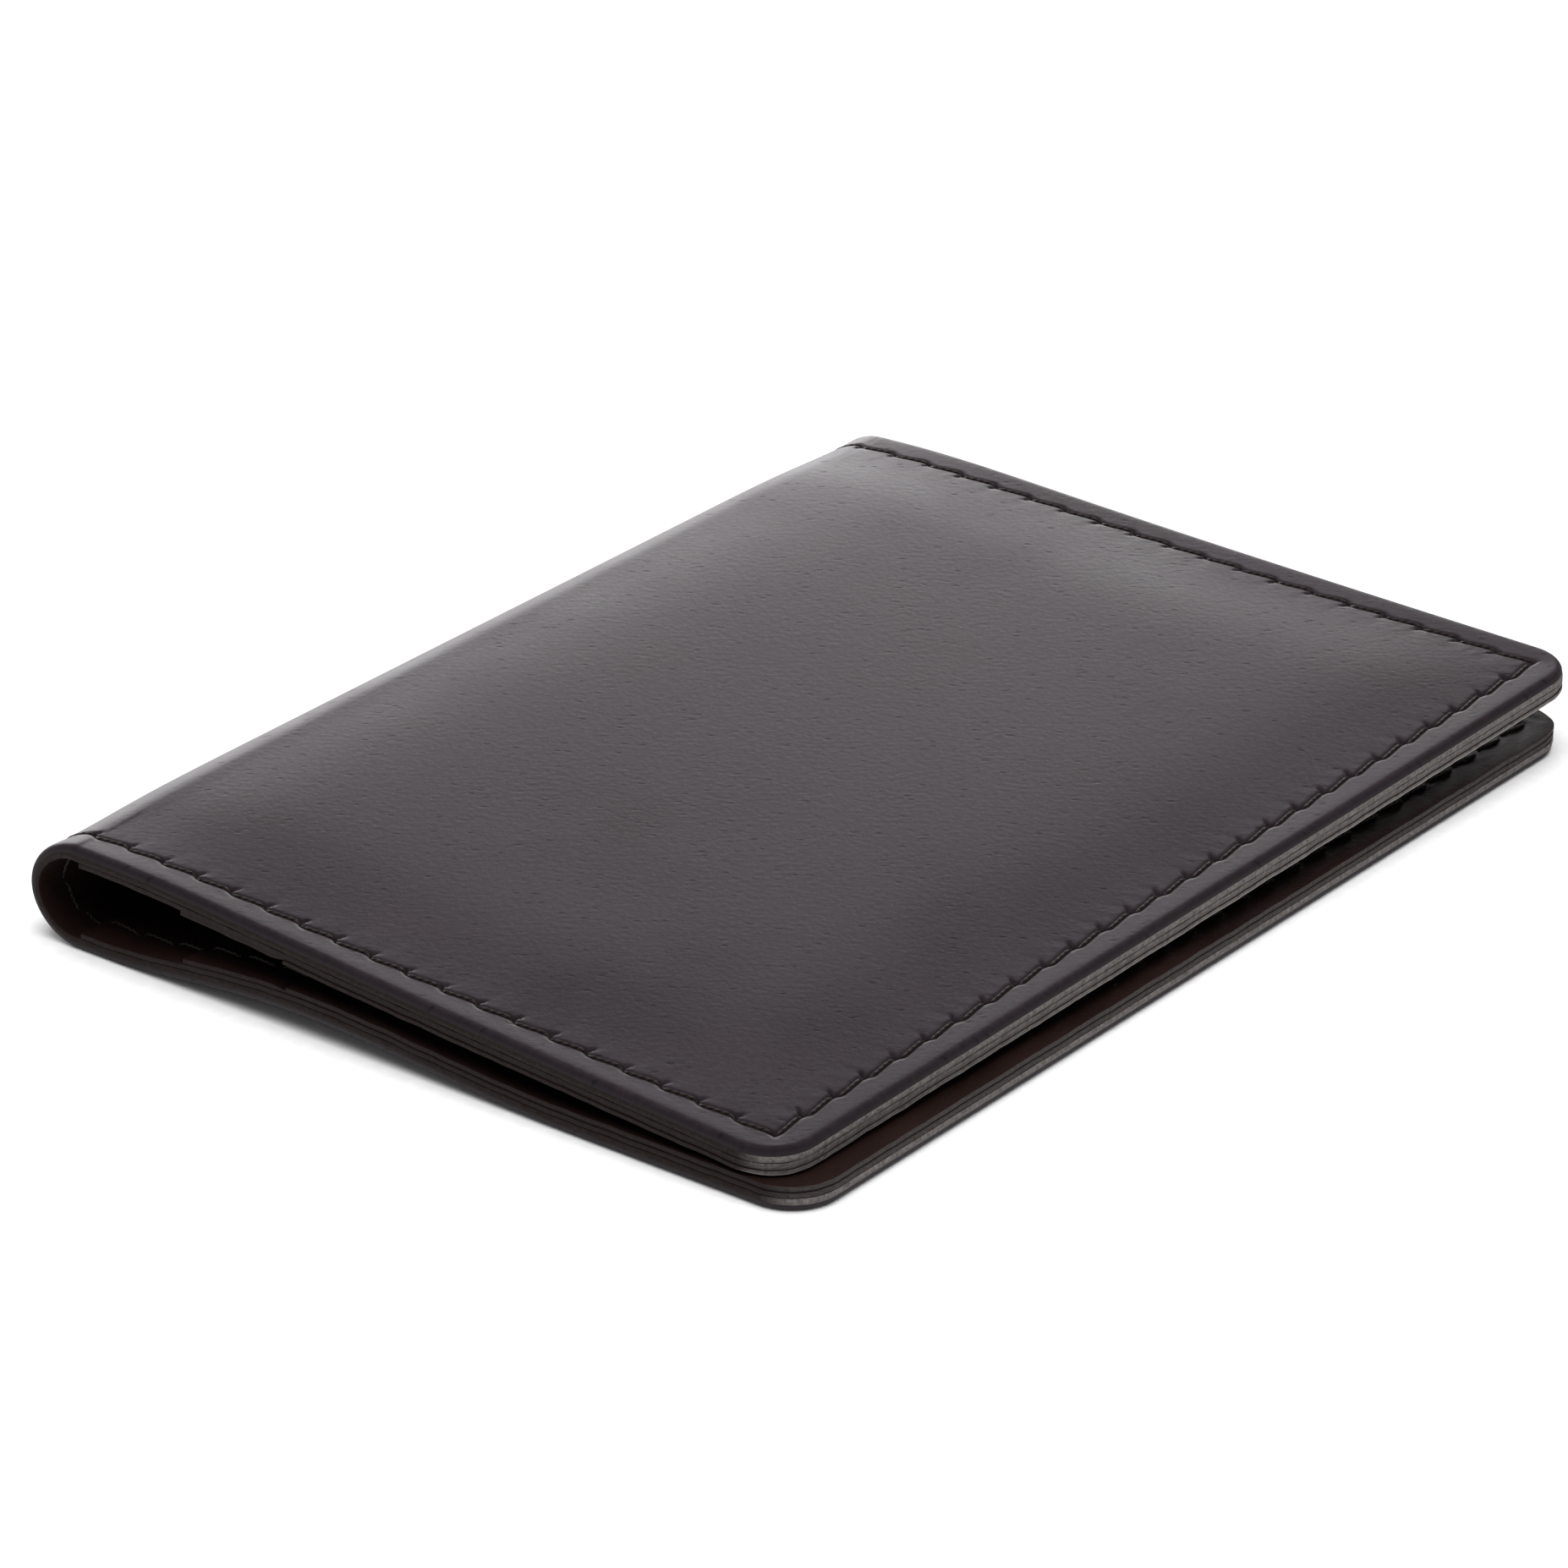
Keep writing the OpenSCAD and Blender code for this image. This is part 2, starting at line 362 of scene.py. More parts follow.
def make_piece(name, points, groups, uv, materials, normals=None, values=None):
    """Mesh object from points in metres and groups of (faces, material number).
    Unused points are dropped. uv is in millimetres of the sheet."""
    used = np.unique(np.concatenate([np.asarray(f).ravel() for f, _ in groups]))
    new = np.full(len(points), -1)
    new[used] = np.arange(len(used))
    faces, numbers = [], []
    for group, number in groups:
        faces += new[np.asarray(group)].tolist()
        numbers += [number] * len(group)
    mesh = bpy.data.meshes.new(name)
    mesh.from_pydata(points[used], [], faces)
    mesh.polygons.foreach_set("material_index", numbers)
    mesh.polygons.foreach_set("use_smooth", [True] * len(faces))
    corner = np.empty(len(mesh.loops), int)
    mesh.loops.foreach_get("vertex_index", corner)
    mesh.uv_layers.new(name="sheet").data.foreach_set("uv", uv[used][corner].ravel())
    for key, value in (values or {}).items():
        data = mesh.attributes.new(key, "FLOAT", "POINT").data
        data.foreach_set("value", value[used].astype(np.float32))
    for material in materials:
        mesh.materials.append(material)
    if normals is not None:
        mesh.normals_split_custom_set_from_vertices(normals[used])
    mesh.validate()
    obj = bpy.data.objects.new(name, mesh)
    bpy.context.scene.collection.objects.link(obj)
    return obj


# ------------------------------------------------------------------ materials
def linear(code):
    """Linear colour of an sRGB hex value."""
    parts = [int(code[i:i + 2], 16) / 255 for i in (1, 3, 5)]
    return tuple(c / 12.92 if c <= 0.04045 else ((c + 0.055) / 1.055) ** 2.4
                 for c in parts) + (1,)


def add(tree, kind, inputs=None, **settings):
    """A node with its settings. An input takes a value, or a socket to link."""
    node = tree.nodes.new(kind)
    for key, value in settings.items():
        setattr(node, key, value)
    for key, value in (inputs or {}).items():
        if isinstance(value, bpy.types.NodeSocket):
            tree.links.new(value, node.inputs[key])
        else:
            node.inputs[key].default_value = value
    return node


def ramp(tree, factor, stops):
    """Colour ramp through the (place, hex colour) stops."""
    node = add(tree, "ShaderNodeValToRGB", {"Fac": factor})
    elements = node.color_ramp.elements
    for i, (where, code) in enumerate(stops):
        element = elements[i] if i < 2 else elements.new(where)
        element.position, element.color = where, linear(code)
    return node.outputs["Color"]


def mix_colour(tree, factor, a, b, blend="MIX"):
    """Result socket of two colours mixed. 6 and 7 are the node's colour inputs."""
    node = add(tree, "ShaderNodeMix", {"Factor": factor, 6: a, 7: b},
               data_type="RGBA", blend_type=blend)
    return node.outputs[2]


def new_material(name, **shader):
    """Material with a Principled shader whose constant sockets are set on it."""
    material = bpy.data.materials.new(name)
    material.use_nodes = True
    tree = material.node_tree
    surface = tree.nodes["Principled BSDF"]
    for key, value in shader.items():
        surface.inputs[key.replace("_", " ")].default_value = value
    return material, tree, surface


# A pattern's scale is one over its size in millimetres of the sheet.

# Full-grain leather, vegetable tanned, waxed and polished: a soft broad sheen
# over fine pores, with slow changes of tone, 16 mm across, where the wax has gone
# in. Real pores are about 0.15 mm wide and 0.4 mm apart. They are drawn 0.75 mm
# apart and twice as wide, so that they show. Grain and creases, 0.1 to 0.3 mm in
# real leather, are drawn 0.5 mm across.
cover_leather, tree, surface = new_material("waxed_full_grain_leather", IOR=1.5,
                                            Specular_Tint=linear("#fff1ff"))
sheet = add(tree, "ShaderNodeUVMap", uv_map="sheet").outputs["UV"]
mottle = add(tree, "ShaderNodeTexNoise",
             {"Vector": sheet, "Scale": 1 / 16, "Detail": 4, "Roughness": 0.55})
grain = add(tree, "ShaderNodeTexNoise",
            {"Vector": sheet, "Scale": 1 / 0.55, "Detail": 5, "Roughness": 0.62})
drawn = add(tree, "ShaderNodeMapping",
            {"Vector": sheet, "Rotation": (0, 0, 0.66), "Scale": (2.2, 1.0, 1.0)},
            vector_type="TEXTURE")
crease = add(tree, "ShaderNodeTexNoise",
             {"Vector": drawn.outputs["Vector"], "Scale": 1 / 0.5, "Detail": 3,
              "Roughness": 0.6})
pores = add(tree, "ShaderNodeTexVoronoi",
            {"Vector": drawn.outputs["Vector"], "Scale": 1 / 0.75, "Randomness": 1.0})
hollow = add(tree, "ShaderNodeMapRange",
             {"Value": pores.outputs["Distance"], "From Min": 0.1, "From Max": 0.32,
              "To Min": -0.7, "To Max": 0.6})
ragged = add(tree, "ShaderNodeMath",
             {0: grain.outputs["Fac"], 1: 1.4, 2: hollow.outputs["Result"]},
             operation="MULTIPLY_ADD", use_clamp=True)
# More than half of the pores are filled with wax and don't show
closed = add(tree, "ShaderNodeMath", {0: pores.outputs["Color"], 1: 0.56},
             operation="LESS_THAN")
pore = add(tree, "ShaderNodeMath",
           {0: ragged.outputs["Value"], 1: closed.outputs["Value"]}, operation="MAXIMUM")
tone = ramp(tree, mottle.outputs["Fac"], [(0.32, "#1d1519"), (0.68, "#2a2127")])
speck = ramp(tree, grain.outputs["Fac"], [(0.35, "#c8c0be"), (0.62, "#ffffff")])
colour = mix_colour(tree, 1.0, tone, speck, "MULTIPLY")
filled = ramp(tree, pore.outputs["Value"], [(0.0, "#857e7c"), (1.0, "#ffffff")])
colour = mix_colour(tree, 1.0, colour, filled, "MULTIPLY")
# Painted shade: the sewn attribute darkens the stitch groove, the slits and the rounded rim
# towards near black, and makes them rougher
painted_shade = add(tree, "ShaderNodeAttribute", attribute_name="sewn").outputs["Fac"]
tree.links.new(mix_colour(tree, painted_shade, colour, linear("#0d0908")),
               surface.inputs["Base Color"])
polish = add(tree, "ShaderNodeMapRange",
             {"Value": mottle.outputs["Fac"], "From Min": 0.3, "From Max": 0.7,
              "To Min": 0.36, "To Max": 0.46})
dull = add(tree, "ShaderNodeMath", {0: painted_shade, 1: 0.5, 2: polish.outputs["Result"]},
           operation="MULTIPLY_ADD")
duller = add(tree, "ShaderNodeMapRange",
             {"Value": pore.outputs["Value"], "To Min": 0.1, "To Max": 0.0})
matt = add(tree, "ShaderNodeMath", {0: dull.outputs["Value"], 1: duller.outputs["Result"]},
           operation="ADD")
tree.links.new(matt.outputs["Value"], surface.inputs["Roughness"])
fine = add(tree, "ShaderNodeBump",
           {"Height": grain.outputs["Fac"], "Distance": 0.03 * MM, "Strength": 0.7})
deep = add(tree, "ShaderNodeBump",
           {"Height": pore.outputs["Value"], "Distance": 0.012 * MM, "Strength": 0.7,
            "Normal": fine.outputs["Normal"]})
creased = add(tree, "ShaderNodeBump",
              {"Height": crease.outputs["Fac"], "Distance": 0.03 * MM, "Strength": 0.6,
               "Normal": deep.outputs["Normal"]})
tree.links.new(creased.outputs["Normal"], surface.inputs["Normal"])

# Cut edge of the same leather: matt and fibrous, burnished along the ends and
# left drier and paler along the free edges. The back's lining and slots carry
# painted shade: their cut edges take more of the dark tone. Its fibre bundles are
# about 0.1 mm thick and are drawn 0.45 mm thick, so that they show.
cut_edge, tree, surface = new_material("cut_leather_edge", IOR=1.5, Specular_IOR_Level=0.2)
sheet = add(tree, "ShaderNodeUVMap", uv_map="sheet").outputs["UV"]
dry_with_shade = add(tree, "ShaderNodeAttribute", attribute_name="dry_with_shade").outputs["Fac"]
fibre = add(tree, "ShaderNodeTexNoise",
            {"Vector": sheet, "Scale": 1 / 0.45, "Detail": 6, "Roughness": 0.7})
bare = ramp(tree, fibre.outputs["Fac"], [(0.32, "#474241"), (0.7, "#827c79")])
burnt_and_shaded = ramp(tree, fibre.outputs["Fac"], [(0.3, "#140e0c"), (0.7, "#2a201d")])
pale = add(tree, "ShaderNodeAttribute", attribute_name="pale").outputs["Fac"]
edge_tone = mix_colour(tree, pale, mix_colour(tree, dry_with_shade, burnt_and_shaded, bare), linear("#a39d99"))
tree.links.new(edge_tone, surface.inputs["Base Color"])
surface.inputs["Roughness"].default_value = 0.75
rough = add(tree, "ShaderNodeBump",
            {"Height": fibre.outputs["Fac"], "Distance": 0.12 * MM, "Strength": 0.8})
tree.links.new(rough.outputs["Normal"], surface.inputs["Normal"])

# Thin skived leather of the lining and slots: the same dye with less wax, so
# it is duller, with a printed grain, 0.5 mm across.
lining_leather, tree, surface = new_material("skived_lining_leather", IOR=1.5,
                                             Specular_IOR_Level=0.2,
                                             Specular_Tint=linear("#ffecee"))
sheet = add(tree, "ShaderNodeUVMap", uv_map="sheet").outputs["UV"]
mottle = add(tree, "ShaderNodeTexNoise", {"Vector": sheet, "Scale": 1 / 12, "Detail": 4})
grain = add(tree, "ShaderNodeTexVoronoi",
            {"Vector": sheet, "Scale": 1 / 0.5, "Randomness": 0.9})
tone = ramp(tree, mottle.outputs["Fac"], [(0.3, "#170e0c"), (0.7, "#241815")])
tree.links.new(tone, surface.inputs["Base Color"])
surface.inputs["Roughness"].default_value = 0.52
pebble = add(tree, "ShaderNodeBump",
             {"Height": grain.outputs["Distance"], "Distance": 0.03 * MM, "Strength": 0.6})
tree.links.new(pebble.outputs["Normal"], surface.inputs["Normal"])

# Waxed polyester thread, two plies twisted, which show as slanting bands about
# 0.6 mm apart. u is the length and v goes round.
thread, tree, surface = new_material("waxed_twisted_thread", IOR=1.5, Specular_IOR_Level=0.3)
sheet = add(tree, "ShaderNodeUVMap", uv_map="sheet").outputs["UV"]
turned = add(tree, "ShaderNodeMapping", {"Vector": sheet, "Rotation": (0, 0, 0.6)})
ply = add(tree, "ShaderNodeTexWave",
          {"Vector": turned.outputs["Vector"], "Scale": 0.55, "Distortion": 0.6,
           "Detail": 2})
tone = ramp(tree, ply.outputs["Fac"], [(0.1, "#110c0b"), (0.9, "#2c2321")])
tree.links.new(tone, surface.inputs["Base Color"])
surface.inputs["Roughness"].default_value = 0.5
twine = add(tree, "ShaderNodeBump",
            {"Height": ply.outputs["Fac"], "Distance": 0.06 * MM, "Strength": 0.7})
tree.links.new(twine.outputs["Normal"], surface.inputs["Normal"])

# ------------------------------------------------------------ the cover sheet
# A border of fine cells goes all round the sheet and carries the stitches and the
# edge. The middle has cells of one step, and each meets FINE cells of the border.
BORDER = 8 * MM
TURN_IN = 12 * MM
FINE = 4
STEP = 0.8 * MM
CORNER_CELLS = 14


def cells(start, end, size):
    """Number of equal cells of about that size from start to end."""
    return max(1, round((end - start) / size))


def side_lines(stops, sizes):
    """Lines between the corners of one side, and how finely each is divided at
    the border: evenly spaced lines from stop to stop, with (cell size, parts)."""
    lines, parts = [], []
    for a, b, (size, part) in zip(stops[:-1], stops[1:], sizes):
        n = cells(a, b, size)
        lines.append(np.linspace(a, b, n + 1)[:-1])
        parts += [part] * n
    return np.append(np.concatenate(lines), stops[-1]), parts


def side(lines, parts, length):
    """Stations of one side of the outline in order: place along it, inset from
    it, and place on the inner border line, with the parts per cell. They are
    straight between the corners and go half way round each corner's quarter circle."""
    n = CORNER_CELLS * FINE
    run = TURN_IN - CORNER_R
    t = np.linspace(0, run + CORNER_R * math.pi / 4, n + 1)
    angle = np.maximum(t - run, 0) / CORNER_R
    a = np.where(t < run, TURN_IN - t, CORNER_R - CORNER_R * np.sin(angle))
    b = CORNER_R - CORNER_R * np.cos(angle)
    inner = np.linspace(TURN_IN, BORDER, n + 1)
    fine = [np.linspace(p, q, k + 1)[:-1] for p, q, k in zip(lines[:-1], lines[1:], parts)]
    middle = np.concatenate(fine)
    along = np.concatenate([a[::-1][:-1], middle, length - a])
    inset = np.concatenate([b[::-1][:-1], 0 * middle, b])
    border = np.concatenate([inner[::-1][:-1], middle, length - inner])
    return along, inset, border, [FINE] * CORNER_CELLS + parts + [FINE] * CORNER_CELLS


def centre_lines(lines, length):
    """Grid lines of the middle that meet the border's stations."""
    corner = np.linspace(BORDER + STEP, TURN_IN, CORNER_CELLS + 1)[:-1]
    return np.concatenate([corner, lines, length - corner[::-1]])


stops_s = np.concatenate([[TURN_IN], SEAMS, [S_END - TURN_IN]])
sizes_s = [(STEP, FINE)] + [(STEP / 2, FINE // 2)] * TURNS + [(STEP, FINE)]
lines_s, parts_s = side_lines(stops_s, sizes_s)
lines_v, parts_v = side_lines([TURN_IN, 2 * HALF_L - TURN_IN], [(STEP, FINE)])
along_s, inset_s, border_s, cut_s = side(lines_s, parts_s, S_END)
along_v, inset_v, border_v, cut_v = side(lines_v, parts_v, 2 * HALF_L)


def round_trip(near, free, far, back):
    """Stations of the whole outline from those of its sides, which share corners.
    The far side and the back are walked the other way."""
    return np.concatenate([near[:-1], free[:-1], far[:0:-1], back[:0:-1]])


flat_s, flat_v = np.full_like(border_s, BORDER), np.full_like(border_v, BORDER)
edge_s = round_trip(along_s, S_END - inset_v, along_s, inset_v)
edge_v = round_trip(inset_s - HALF_L, along_v - HALF_L, HALF_L - inset_s, along_v - HALF_L)
rim_s = round_trip(border_s, S_END - flat_v, border_s, flat_v)
rim_v = round_trip(flat_s - HALF_L, border_v - HALF_L, HALF_L - flat_s, border_v - HALF_L)
STATIONS = len(edge_s)

# Insets of the border's rows, closer together at the stitches and the edge
SEWN_FROM, SEWN_TO = 5.2 * MM, 1.2 * MM
rows_in = np.concatenate([np.linspace(BORDER, SEWN_FROM, 6)[:-1],
                          np.linspace(SEWN_FROM, SEWN_TO, 22)[:-1],
                          SEWN_TO * np.linspace(1, 0, 11) ** 1.6])


def rows_between(share):
    """Rows of border points: each share of the way from the edge to the rim."""
    share = share[:, None]
    return share * rim_s + (1 - share) * edge_s, share * rim_v + (1 - share) * edge_v


def round_over(d, r):
    """Drop of an edge rounded as a quarter circle, at the distance d from it."""
    return r - np.sqrt(np.maximum(r * r - np.maximum(r - d, 0) ** 2, 0))


def cover_edge(s, v):
    """Distance inwards from the cover's outline, and the outward direction."""
    return edge_distance(s, v, 0, S_END, HALF_L, CORNER_R, CORNER_R)


# The leather's slow unevenness: its height, the size of its waves and how far in
# it is full. The relief is full at RELIEF_FROM from a cut edge.
SLOW, SLOW_WAVE, SLOW_FROM = 0.02 * MM, 40 * MM, 6 * MM
RELIEF_FROM = 0.8 * MM


def outer_depth(s, v):
    """Depth of the cover's outer face: its rounded edge, the sewing and a slow
    unevenness of the leather."""
    d = np.maximum(cover_edge(s, v)[0], 0)
    slow = SLOW * drift(s, v, SLOW_WAVE, 5) * smooth(d / SLOW_FROM)
    return round_over(d, ARRIS) - relief(s, v) * smooth(d / RELIEF_FROM) - slow


INNER_ARRIS = 0.04 * MM


def inner_depth(s, v):
    """Depth of the cover's inner face, with a small rounded edge."""
    return COVER_T - round_over(np.maximum(cover_edge(s, v)[0], 0), INNER_ARRIS)


# The cut wall between the two faces: it swells in its middle as half a sine wave,
# and the fibres make it uneven, in waves from 0.35 and 0.7 mm along it
WALL_ROWS = 9
WALL_SWELL, WALL_FUZZ = 0.07, 0.03
outer_s, outer_v = rows_between(rows_in / BORDER)
down = np.linspace(0, 1, WALL_ROWS + 2)[1:-1, None]
wall_depth = ARRIS + down * (COVER_T - INNER_ARRIS - ARRIS)
_, out_s, out_v = cover_edge(edge_s, edge_v)
path = np.cumsum(np.hypot(np.diff(edge_s, prepend=edge_s[0]),
                          np.diff(edge_v, prepend=edge_v[0])))[None, :]
fuzz = (drift(path, wall_depth * 3, 0.7 * MM, 11)
        + 0.6 * drift(path, wall_depth * 5, 0.35 * MM, 12))
bulge = np.sin(np.pi * down)
swell = (WALL_SWELL * bulge + WALL_FUZZ * fuzz * bulge ** 0.5) * MM
wall_s, wall_v = edge_s + swell * out_s, edge_v + swell * out_v
inner_s, inner_v = rows_between(np.linspace(0, 1, 9) ** 1.5)

ring_s = np.concatenate([outer_s, wall_s, inner_s])
ring_v = np.concatenate([outer_v, wall_v, inner_v])
ring_depth = np.concatenate([outer_depth(outer_s, outer_v),
                             np.broadcast_to(wall_depth, wall_s.shape),
                             inner_depth(inner_s, inner_v)])
ROWS = len(ring_s)
grid_s, grid_v = np.meshgrid(centre_lines(lines_s, S_END),
                             centre_lines(lines_v, 2 * HALF_L) - HALF_L, indexing="ij")
sheet_s = np.concatenate([ring_s.ravel(), grid_s.ravel(), grid_s.ravel()])
sheet_v = np.concatenate([ring_v.ravel(), grid_v.ravel(), grid_v.ravel()])
sheet_depth = np.concatenate([ring_depth.ravel(), outer_depth(grid_s, grid_v).ravel(),
                              inner_depth(grid_s, grid_v).ravel()])
points = place(sheet_s, sheet_v, sheet_depth)

ring = np.arange(ROWS * STATIONS).reshape(ROWS, STATIONS)
ring_closed = np.concatenate([ring, ring[:, :1]], axis=1)
outer_grid = ROWS * STATIONS + np.arange(grid_s.size).reshape(grid_s.shape)
inner_grid = outer_grid + grid_s.size


def border_fans(rim, grid, parts):
    """Triangles between the border's inner line and the coarser middle grid: each
    grid edge meets as many border edges as its cell has parts."""
    loop = np.concatenate([grid[:-1, 0], grid[-1, :-1], grid[:0:-1, -1], grid[0, :0:-1]])
    start = np.concatenate([[0], np.cumsum(parts)])
    ends = np.append(loop, loop[0])
    found = []
    for k in sorted(set(parts)):
        m = np.flatnonzero(np.array(parts) == k)
        for j in range(k):
            tip = ends[m] if j < k // 2 else ends[m + 1]
            found.append(np.stack([rim[start[m] + j], rim[start[m] + j + 1], tip], -1))
        found.append(np.stack([rim[start[m] + k // 2], ends[m + 1], ends[m]], -1))
    return np.concatenate(found)


parts = cut_s + cut_v + cut_s[::-1] + cut_v[::-1]
ring_quads = grid_faces(ring_closed[::-1][:, ::-1])
outer_quads, inner_quads = grid_faces(outer_grid), grid_faces(inner_grid)[:, ::-1]
fans_outer = border_fans(ring_closed[0], outer_grid, parts)
fans_inner = border_fans(ring_closed[-1], inner_grid, parts)[:, ::-1]

# Material of the faces: 0 the outer face, 1 the cut edge, 2 the inner face
OUTER, CUT, INNER = range(3)
ring_rows = np.repeat(np.arange(ROWS - 1)[::-1], STATIONS)
first_wall = len(rows_in) - 1
last_wall = len(rows_in) + WALL_ROWS
ring_marks = (ring_rows >= first_wall).astype(int) + (ring_rows >= last_wall)
cover_quads = np.concatenate([ring_quads, outer_quads, inner_quads])
cover_marks = np.concatenate([ring_marks, np.repeat([OUTER, INNER], len(outer_quads))])
cover_tris = np.concatenate([fans_outer, fans_inner])
tri_marks = np.repeat([OUTER, INNER], [len(fans_outer), len(fans_inner)])
cover_normals = vertex_normals(points, [cover_quads, cover_tris])

# How dry the cut edge is, greatest on the free edges, and the painted shade that
# darkens the sewing's groove and slits and the rounded rim of the outer face
RIM_SHADE, RIM_SHADE_WIDTH = 0.7, 0.55 * MM
DRY_GAIN = 1.4
groove, slit, _ = sewing(sheet_s, sheet_v)
edge_d, edge_ns, _ = cover_edge(sheet_s, sheet_v)
rim_shade = RIM_SHADE * (1 - smooth(edge_d / RIM_SHADE_WIDTH))
# Painted shade: the sewn value darkens the groove, the slits and the rim
values = {"dry_with_shade": smooth(np.abs(edge_ns) * DRY_GAIN),
          "sewn": np.maximum(np.maximum(groove, slit), rim_shade)}
# The sheet's map goes on over the cut wall, which would otherwise have no width
lift = np.concatenate([np.zeros(outer_s.shape), np.broadcast_to(wall_depth, wall_s.shape),
                       np.full(inner_s.shape, COVER_T)]).ravel()
uv = np.stack([sheet_s, sheet_v], -1) / MM
uv[:ring.size] += (lift[:, None] * np.stack([np.tile(out_s, ROWS),
                                             np.tile(out_v, ROWS)], -1)) / MM


def seam_loop(seam):
    """Outline of the cut across the sheet at one seam."""
    line = int(np.argmin(np.abs(grid_s[:, 0] - seam)))
    near = int(np.argmin(np.abs(edge_s[:len(along_s)] - seam)))
    start = len(along_s) + len(along_v) - 2
    far = start + int(np.argmin(np.abs(edge_s[start:start + len(along_s)] - seam)))
    return np.concatenate([ring[:, near], inner_grid[line], ring[::-1, far],
                           outer_grid[line, ::-1]])


def which(faces):
    """Number of the piece that each face is in: the seams before its middle."""
    return np.searchsorted(SEAMS, sheet_s[faces].mean(axis=1))


quad_piece, tri_piece = which(cover_quads), which(cover_tris)
PIECES = TURNS + 2
fold_names = [f"fold_leather_{k + 1}" for k in range(TURNS)]
cover_names = ["cover_back_leather"] + fold_names + ["cover_front_leather"]
# The last two bending pieces share a strip, because six of them replace five strips
strips = [f"fold_strip_{min(k + 1, TURNS - 1)}" for k in range(TURNS)]
stands_for = ["cover_back"] + strips + ["cover_front"]


def hold(obj, k):
    """The back and front pieces ride on their halves; a piece of the fold has its place baked
    into its mesh.
    """
    if k == 0 or k == PIECES - 1:
        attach(obj, CHAIN[0] if k == 0 else CHAIN[-1])
    else:
        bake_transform(obj)


for k in range(PIECES):
    groups = []
    for mark in (OUTER, CUT, INNER):
        groups.append((cover_quads[(quad_piece == k) & (cover_marks == mark)], mark))
        groups.append((cover_tris[(tri_piece == k) & (tri_marks == mark)], mark))
    if k > 0:
        groups.append((seam_loop(SEAMS[k - 1])[None, ::-1], OUTER))
    if k < PIECES - 1:
        groups.append((seam_loop(SEAMS[k])[None], OUTER))
    obj = make_piece(cover_names[k], points, groups, uv,
                     [cover_leather, cut_edge, lining_leather], cover_normals, values)
    hold(obj, k)
    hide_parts(stands_for[k])

# ------------------------------------------------------- linings and card slots
EDGE_ROUND = 0.03 * MM
CUT_FACE = 0.033 * MM
SQUARE = 1e-5 * MM
DRY_FROM = 5 * MM
# The share of the pale dry tone on the layers' cut edges: lower on the back, as painted shade
# in the gap between the halves
DRY_FRONT, DRY_BACK_SHADED = 0.85, 0.25
LAYER_STEP = 0.7 * MM
# A cut edge wanders by EDGE_WANDER in waves from EDGE_WAVE, within EDGE_BAND of it
EDGE_WANDER, EDGE_WAVE, EDGE_BAND = 0.05 * MM, 1.3 * MM, 0.5 * MM


def edge_lines(start, end, size):
    """Lines from start to end: close together at both ends, then evenly spaced."""
    near = np.array([0, 0.006, 0.015, 0.03, 0.3, 0.6]) * MM
    n = cells(start, end, size)
    inside = np.linspace(start + 1.1 * MM, end - 1.1 * MM, n + 1)
    return np.concatenate([start + near, inside, (end - near)[::-1]])


def corner_lines(half):
    """Lines across a half: evenly spaced, then by angle round the corners."""
    r = CORNER_R
    straight = np.linspace(-(half - r), half - r, cells(0, 2 * (half - r), STEP) + 1)
    bow = half - r + r * np.sin(np.linspace(0, np.pi / 2, 15))[1:]
    close = half - np.array([0.03, 0.015, 0.006]) * MM
    bow = np.sort(np.concatenate([bow, close]))
    return np.concatenate([-bow[::-1], straight, bow])


def to_sheet(front, u):
    """Place on the unfolded sheet of the distance u from a half's bending line."""
    return S_FRONT - HALF_STRIP + u if front else LEN_BACK - u


